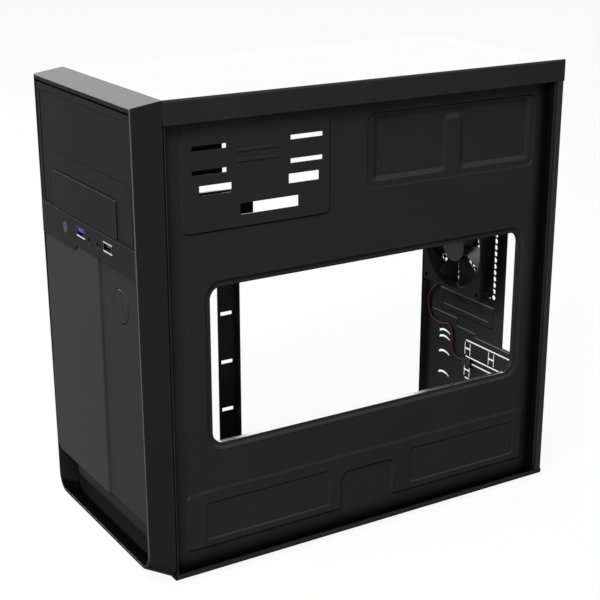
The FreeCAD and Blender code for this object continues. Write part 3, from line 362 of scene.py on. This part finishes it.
rotor_plastic = dark_finish("fan_rotor_plastic", 0.0090, 0.030, 0.050, roughness=0.26, specular=0.15,
                            edge=0.0003, flat_gloss=0.8, angles=(0.30, 0.70), sky=0.003)
print("dark finishes:", [m.name for m in (
    steel_paint, tray_steel, lit_inner_steel, pan_steel, moulding, bay_plastic, ring_plastic, small_cover,
    panel_plastic, door_plastic, fan_plastic, rotor_plastic)])

# %% [markdown]
# Small parts need finishes of their own: plated port shells, brass standoffs, rubber feet, glossy plastic
# for buttons and tongues, a green circuit board and the coloured sleeve of the fan lead.

# %% Small finishes
shell_wall = 0.0009


def glossy_plastic(name, colour, roughness=0.22):
    """Smooth plastic, a little uneven in its tone and gloss."""
    f = Finish(name)
    cloud = f.noise(60.0, detail=3.0)
    tone = f.colours(cloud, [c * 0.9 for c in colour], [c * 1.1 for c in colour])
    shader = f.node("BsdfPrincipled", sockets={
        "Base Color": tone, "Roughness": roughness + 0.08 * cloud, "Specular IOR Level": 0.12,
        "Normal": f.bump(f.noise(2500), 0.00002, f.soft_edges(0.0002))})
    return f.show(shader)


def metal(name, colour, roughness):
    """Plated or turned metal, with a fine wear."""
    f = Finish(name)
    worn = f.noise(1800, detail=4.0)
    tone = f.colours(worn, [c * 0.85 for c in colour], colour)
    shader = f.node("BsdfPrincipled", sockets={
        "Base Color": tone, "Metallic": 1.0, "Roughness": roughness + 0.12 * worn,
        "Normal": f.bump(worn, 0.00001, f.soft_edges(0.00015))})
    return f.show(shader)


def rubber(name, colour):
    """Matt rubber with a little dust on it."""
    f = Finish(name)
    dust = f.noise(180, detail=5.0)
    tone = f.colours(dust.between(0.45, 0.8), colour, [c + 0.02 for c in colour])
    shader = f.node("BsdfPrincipled", sockets={
        "Base Color": tone, "Roughness": 0.72 + 0.15 * dust, "Specular IOR Level": 0.3,
        "Normal": f.bump(f.noise(2200, detail=4.0), 0.00006, f.soft_edges(0.0005))})
    return f.show(shader)


def port_shell(name, node, bare_above):
    """Plated steel, bright on the lower wall and, where that one is bare too, on the upper wall, and
    painted dark elsewhere for the shade in the mouth.
    """
    low, high = [corner[2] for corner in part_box(node)]
    outer, inner = shell_wall * 0.8, shell_wall * 1.2
    f = Finish(name)
    height = f.place().part("Z")
    # Plating's light grey on the lower wall, and on the upper wall where that is bare; elsewhere the shell
    # is painted dark for the shade in its mouth.
    bright = 1 - height.between(low + outer, low + inner)
    if bare_above:
        bright = bright + height.between(high - inner, high - outer) * 0.7
    worn = f.noise(900, detail=4.0)
    tone = f.colours(bright * (0.8 + 0.3 * worn), grey(0.012), grey(0.80))
    shader = f.node("BsdfPrincipled", sockets={
        "Base Color": tone, "Metallic": 1.0, "Roughness": 0.28 + 0.12 * worn,
        "Normal": f.soft_edges(0.00015)})
    return f.show(shader)


black_gloss = glossy_plastic("black_plastic", (0.010, 0.010, 0.011))
jack_plastic = glossy_plastic("jack_plastic", (0.003, 0.003, 0.003), 0.6)
button_gloss = glossy_plastic("button_plastic", (0.028, 0.027, 0.037), 0.4)
blue_gloss = glossy_plastic("blue_plastic", (0.035, 0.045, 0.36), 0.35)
usb3_shell = port_shell("plated_steel_usb3", "usb3_port", False)
usb2_shell = port_shell("plated_steel_usb2", "usb2_port", True)
board_green = glossy_plastic("circuit_board", (0.012, 0.07, 0.03), 0.35)
sleeve = glossy_plastic("lead_sleeve", (0.085, 0.036, 0.019), 0.45)
brass = metal("brass", (0.72, 0.52, 0.24), 0.22)
gold = metal("contact_gold", (0.85, 0.62, 0.25), 0.2)
foot_rubber = rubber("rubber", (0.013, 0.013, 0.013))
print("small finishes made")

# %% [markdown]
# Each CAD node now gets the finish of its real piece. A CAD node is never moved or reshaped: only the
# material in its slots changes, so the collision model and the picture stay the same object.

# %% Dress the CAD nodes
finishes = {
    steel_paint: ("top_cover", "fan_screws"),
    tray_steel: ("motherboard_tray",),
    lit_inner_steel: ("rear_panel", "front_plate", "left_post", "upper_cage_wall", "hdd_cage", "psu_ledge"),
    pan_steel: ("bottom_pan",),
    moulding: ("bezel_frame", "name_plate"),
    bay_plastic: ("bay_cover_upper", "bay_cover_lower"),
    ring_plastic: ("fascia_ring",),
    small_cover: ("bay_cover_small",),
    door_plastic: ("panel_left",),
    panel_plastic: ("panel_right", "power_button"),
    fan_plastic: ("fan_frame",),
    rotor_plastic: ("fan_rotor",),
    black_gloss: ("fan_plug", "power_switch", "usb2_tongue"),
    jack_plastic: ("audio_jacks",),
    button_gloss: ("reset_button",),
    blue_gloss: ("usb3_tongue",),
    board_green: ("io_board",),
    usb3_shell: ("usb3_port",),
    usb2_shell: ("usb2_port",),
    brass: ("standoffs",),
    sleeve: ("fan_lead",),
    foot_rubber: ("feet",),
}
for finish, names in finishes.items():
    for name in names:
        for slot in nodes[name].material_slots:
            slot.material = finish
print("dressed", sum(len(names) for names in finishes.values()), "of", len(nodes))

# %% [markdown]
# A new piece is shaped in a bmesh and then made an object at the origin, with its place in its mesh, as a
# CAD node has. Normals are worked out again at the end, because a spin can turn a shell inside out.

# %% From bmesh to piece
def piece(name, mesh_work, finish, body="case", smooth=40.0):
    """Turns a finished bmesh into an object that rides on a body."""
    bmesh.ops.remove_doubles(mesh_work, verts=mesh_work.verts, dist=1e-6)
    bmesh.ops.recalc_face_normals(mesh_work, faces=mesh_work.faces)
    mesh = bpy.data.meshes.new(name)
    mesh_work.to_mesh(mesh)
    mesh_work.free()
    mesh.materials.append(finish)
    made = bpy.data.objects.new(name, mesh)
    bpy.context.scene.collection.objects.link(made)
    for face in mesh.polygons:
        face.use_smooth = True
    mesh.set_sharp_from_angle(angle=math.radians(smooth))
    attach(made, body)
    print(name, len(mesh.polygons), "faces")
    return made


# %% [markdown]
# The fan lead is a loose run of thin wire, fixed at the fan and at its plug. A cord is one smooth curve
# with a round bevel, and the points of the CAD route are its control points, so it lies where its solid
# lies.

# %% Fan lead
lead_y = 0.18035
lead_radius = 0.0008
lead_route = (
    (-0.0625, 0.1410), (-0.0625, 0.1360), (-0.0676, 0.1310), (-0.0738, 0.1252), (-0.0774, 0.1168),
    (-0.0762, 0.1074), (-0.0704, 0.1006), (-0.0620, 0.0984), (-0.0536, 0.0992), (-0.0458, 0.1016),
    (-0.0406, 0.0960), (-0.0396, 0.0876), (-0.0404, 0.0796), (-0.0370, 0.0745), (-0.0308, 0.0733),
    (-0.0240, 0.0733))
lead_curve = bpy.data.curves.new("fan_lead_wire", "CURVE")
lead_curve.dimensions = "3D"
lead_curve.bevel_depth = lead_radius
lead_curve.bevel_resolution = 4
lead_curve.resolution_u = 12
lead_curve.use_fill_caps = True
line = lead_curve.splines.new("NURBS")
line.points.add(len(lead_route) - 1)
for point, (x, z) in zip(line.points, lead_route):
    point.co = (x, lead_y, z, 1)
line.order_u = 3
line.use_endpoint_u = True
lead_curve.materials.append(sleeve)
lead = bpy.data.objects.new("fan_lead_wire", lead_curve)
bpy.context.scene.collection.objects.link(lead)
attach(lead, "case")
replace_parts(lead, "fan_lead")
print("lead through", len(lead_route), "points")

# %% [markdown]
# The rear fan is held by four self-tapping screws. A CAD disc stands for each head, and the real head is
# a low dome with a cross recess. The dome is a profile spun about the screw's axis. The recess starts as
# a cross of twelve corners inside the dome's top ring: a bridge joins the two loops, and the cross is
# then pushed inwards.

# %% Fan screws
def spin_profile(work, profile, centre, axis, steps=40):
    """A closed ring of faces from a profile of (radius, height along the axis) points."""
    across = Vector((1, 0, 0))
    points = [work.verts.new(centre + across * r + axis * h) for r, h in profile]
    edges = [work.edges.new(pair) for pair in zip(points, points[1:])]
    bmesh.ops.spin(work, geom=points + edges, cent=centre, axis=axis, angle=math.tau, steps=steps,
                   use_merge=True)


def ring_edges(work, centre, axis, radius, height):
    """The edges of the ring at a radius and a height on the axis."""
    found = []
    for edge in work.edges:
        offsets = [v.co - centre for v in edge.verts]
        on_height = all(abs(o.dot(axis) - height) < 1e-6 for o in offsets)
        on_radius = all(abs((o - axis * o.dot(axis)).length - radius) < 1e-6 for o in offsets)
        if on_height and on_radius:
            found.append(edge)
    return found


def cross_recess(work, centre, axis, top, arm, width, depth, ring_radius):
    """A cross of twelve corners, bridged to the ring round it and pushed in."""
    side = axis.cross(Vector((1, 0, 0)))
    a, b = arm / 2, width / 2
    corners = [(b, a), (b, b), (a, b), (a, -b), (b, -b), (b, -a),
               (-b, -a), (-b, -b), (-a, -b), (-a, b), (-b, b), (-b, a)]
    points = [work.verts.new(centre + Vector((1, 0, 0)) * u + side * v + axis * top) for u, v in corners]
    loop = [work.edges.new((points[i - 1], points[i])) for i in range(len(points))]
    bmesh.ops.bridge_loops(work, edges=loop + ring_edges(work, centre, axis, ring_radius, top))
    floor = work.faces.new(points)
    pushed = bmesh.ops.extrude_face_region(work, geom=[floor])["geom"]
    pushed_points = [part for part in pushed if isinstance(part, bmesh.types.BMVert)]
    bmesh.ops.translate(work, vec=-axis * depth, verts=pushed_points)
    bmesh.ops.delete(work, geom=[floor], context="FACES_KEEP_BOUNDARY")


low, high = [Vector(v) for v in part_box("fan_screws")]
head_radius = 0.0038
head_height = 0.0009
shank_radius = 0.0021
shank_length = 0.0100
recess_ring = 0.0024
screw_seat_y = high.y - head_height
screw_profile = [
    (0.0, -shank_length), (shank_radius, -shank_length), (shank_radius, 0.0), (head_radius, 0.0),
    (head_radius, 0.0003), (0.0033, 0.0007), (recess_ring, head_height)]
screws = bmesh.new()
for x in (low.x + head_radius, high.x - head_radius):
    for z in (low.z + head_radius, high.z - head_radius):
        centre = Vector((x, screw_seat_y, z))
        axis = Vector((0, 1, 0))
        spin_profile(screws, screw_profile, centre, axis)
        cross_recess(screws, centre, axis, top=head_height, arm=0.0030, width=0.0008, depth=0.0007,
                     ring_radius=recess_ring)
fan_screw_heads = piece("fan_screw_heads", screws, steel_paint)
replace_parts(fan_screw_heads, "fan_screws")

# %% [markdown]
# Each foot is a moulded rubber button: a shallow groove under its collar, a rounded tread and a dished
# underside with a round hole for the pin that holds it. All of that is one profile, so a single spin
# makes the foot.

# %% Rubber feet
low, high = [Vector(v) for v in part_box("feet")]
foot_radius = 0.009
foot_height = high.z - low.z
foot_profile = [
    (0.0, 0.0010), (0.0016, 0.0010), (0.0016, 0.0022), (0.0030, 0.0022), (0.0034, 0.0012), (0.0060, 0.0006),
    (0.0068, 0.0), (0.0074, 0.0002), (0.0078, 0.0009), (0.0081, 0.0030), (0.0077, 0.0033), (0.0077, 0.0038),
    (0.0087, 0.0041), (foot_radius, 0.0046), (foot_radius, foot_height), (0.0, foot_height)]
feet = bmesh.new()
for x in (low.x + foot_radius, high.x - foot_radius):
    for y in (low.y + foot_radius, high.y - foot_radius):
        spin_profile(feet, foot_profile, Vector((x, y, low.z)), Vector((0, 0, 1)), steps=56)
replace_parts(piece("rubber_feet", feet, foot_rubber, smooth=32.0), "feet")

# %% [markdown]
# Each USB socket has four sprung contacts on the underside of its tongue. They are small strips with
# bevelled edges, and their place comes from the tongue's own box.

# %% Socket contacts
def strip(work, low, high, bevel):
    """A box between two corners, with all its edges bevelled."""
    made = bmesh.ops.create_cube(work, size=1.0)["verts"]
    size = high - low
    bmesh.ops.scale(work, vec=size, verts=made)
    bmesh.ops.translate(work, vec=(low + high) / 2, verts=made)
    edges = list({edge for vert in made for edge in vert.link_edges})
    bmesh.ops.bevel(work, geom=edges, offset=bevel, offset_type="OFFSET", affect="EDGES", segments=2,
                    profile=0.5, material=-1)


contact_count = 4
contact_pitch = 0.0025
contact_half_width = 0.0005
contact_half_height = 0.0002
contact_bevel = 0.00012
front_gap = 0.0008
rear_gap = 0.0005
contacts = bmesh.new()
for node in ("usb2_tongue", "usb3_tongue"):
    low, high = [Vector(v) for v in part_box(node)]
    for k in range(contact_count):
        x = (low.x + high.x) / 2 + (k - (contact_count - 1) / 2) * contact_pitch
        strip(contacts,
              Vector((x - contact_half_width, low.y + front_gap, low.z - contact_half_height)),
              Vector((x + contact_half_width, high.y - rear_gap, low.z + contact_half_height)),
              contact_bevel)
piece("usb_contacts", contacts, gold)

# %% [markdown]
# The faster socket shows a blue block in the upper half of its mouth: the moulded insulator that carries
# the tongue. It is another strip, set a little back from the mouth, between the tongue and the shell's
# upper wall.

# %% Blue insulator
tongue_low = Vector(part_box("usb3_tongue")[0])
shell_low, shell_high = [Vector(v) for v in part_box("usb3_port")]
set_back = 0.0004
slack = 0.0001
block_bevel = 0.00015
block_low = Vector((shell_low.x + shell_wall + slack, shell_low.y + set_back, tongue_low.z))
block_high = Vector((shell_high.x - shell_wall - slack, tongue_low.y, shell_high.z - shell_wall - slack))
insulator = bmesh.new()
strip(insulator, block_low, block_high, block_bevel)
piece("usb3_insulator", insulator, blue_gloss)

# %% [markdown]
# The floor is pale and keeps the shadow. World and floor look white to the camera and in reflections, and
# give only a little light to the object's faces, because embossed sheet metal needs light with a
# direction: a key lamp from above and the front right makes the upper slopes of each pressing light and
# leaves the lower ones dark. A second lamp from the left reaches the inside through the open side, and a
# weak third one from the right reaches the posts through the window in the tray.

# %% Floor, world and lamps
floor_reach = 14.0
floor_lighting = 0.22
floor_seen = 0.9
floor_glow = 0.93
ambient = 0.34
case_middle = Vector((0, 0, 0.17))
floor_work = bmesh.new()
bmesh.ops.create_grid(floor_work, x_segments=8, y_segments=8, size=floor_reach)
floor_mesh = bpy.data.meshes.new("floor")
floor_work.to_mesh(floor_mesh)
floor_work.free()
floor = bpy.data.objects.new("floor", floor_mesh)
bpy.context.scene.collection.objects.link(floor)


def seen(finish):
    """1 for rays from the camera, in a reflection or through glass, and 0 for rays that only light."""
    camera_ray, glossy_ray, through_ray = [
        finish.node("LightPath", out="Is %s Ray" % kind) for kind in ("Camera", "Glossy", "Transmission")]
    return camera_ray.either(glossy_ray).either(through_ray)


pale = Finish("floor")
paper_tone = pale.colours(seen(pale), (floor_lighting,) * 3, (floor_seen,) * 3)
paper = pale.node("BsdfDiffuse", sockets={"Color": paper_tone})
white = pale.node("Emission", sockets={"Color": (1, 1, 1, 1), "Strength": 1.0})
glow = seen(pale) * floor_glow
floor_mesh.materials.append(pale.show(pale.node("MixShader", sockets={0: glow, 1: paper, 2: white})))

world = bpy.data.worlds.new("studio")
world.use_nodes = True
bpy.context.scene.world = world
studio = Finish("studio", world.node_tree)
level = ambient + (1 - ambient) * seen(studio)
backdrop = studio.node("Background", sockets={"Color": (1, 1, 1, 1), "Strength": level})
studio.node("OutputWorld", sockets={"Surface": backdrop})


def soft_lamp(name, direction, distance, size, share):
    """A square lamp that faces the middle of the case and lights it to a share of full white."""
    data = bpy.data.lights.new(name, "AREA")
    data.size = size
    data.energy = share * (math.pi * distance) ** 2
    lamp = bpy.data.objects.new(name, data)
    lamp.location = case_middle + Vector(direction).normalized() * distance
    lamp.rotation_euler = Vector(direction).to_track_quat("Z", "Y").to_euler()
    bpy.context.scene.collection.objects.link(lamp)


soft_lamp("key_lamp", (0.45, -0.55, 0.72), 2.4, 1.2, 0.95)
soft_lamp("left_lamp", (-0.75, -0.50, 0.42), 2.4, 1.4, 0.55)
soft_lamp("right_lamp", (0.95, -0.30, 0.16), 2.4, 1.0, 0.14)
print("lit by the world and three soft lamps")
